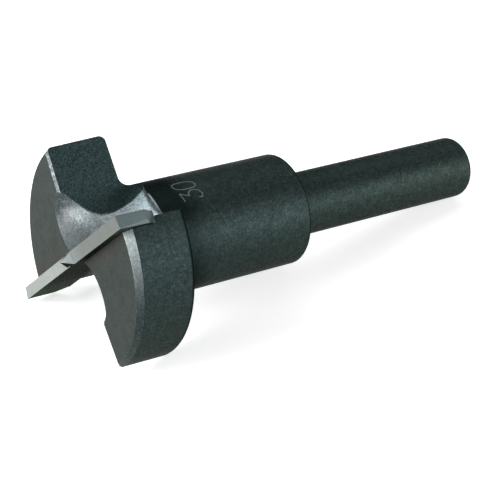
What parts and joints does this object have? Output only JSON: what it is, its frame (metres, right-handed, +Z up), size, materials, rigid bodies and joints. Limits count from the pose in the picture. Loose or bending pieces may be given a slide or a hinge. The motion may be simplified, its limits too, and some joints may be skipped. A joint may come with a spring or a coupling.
{
  "type": "forstner bit",
  "caption": "Forstner bit for boring flat-bottomed holes, with a straight shank, a thick body, a two-winged steel head and a carbide cutter plate with a centre point.",
  "frame": {"origin": "on the table surface that the lying bit rests on, under the middle of its bounding box", "axes": "+X along the bit towards the free end of the shank, measured along the table; +Z up from the table"},
  "size_m": [0.0598, 0.0272, 0.0222],
  "materials": {
    "black_steel": "blackened, fine matt grain",
    "carbide": "ground"
  },
  "bodies": {
    "root": {"steel_body": "black_steel", "carbide_plate": "carbide"}
  },
  "joints": []
}
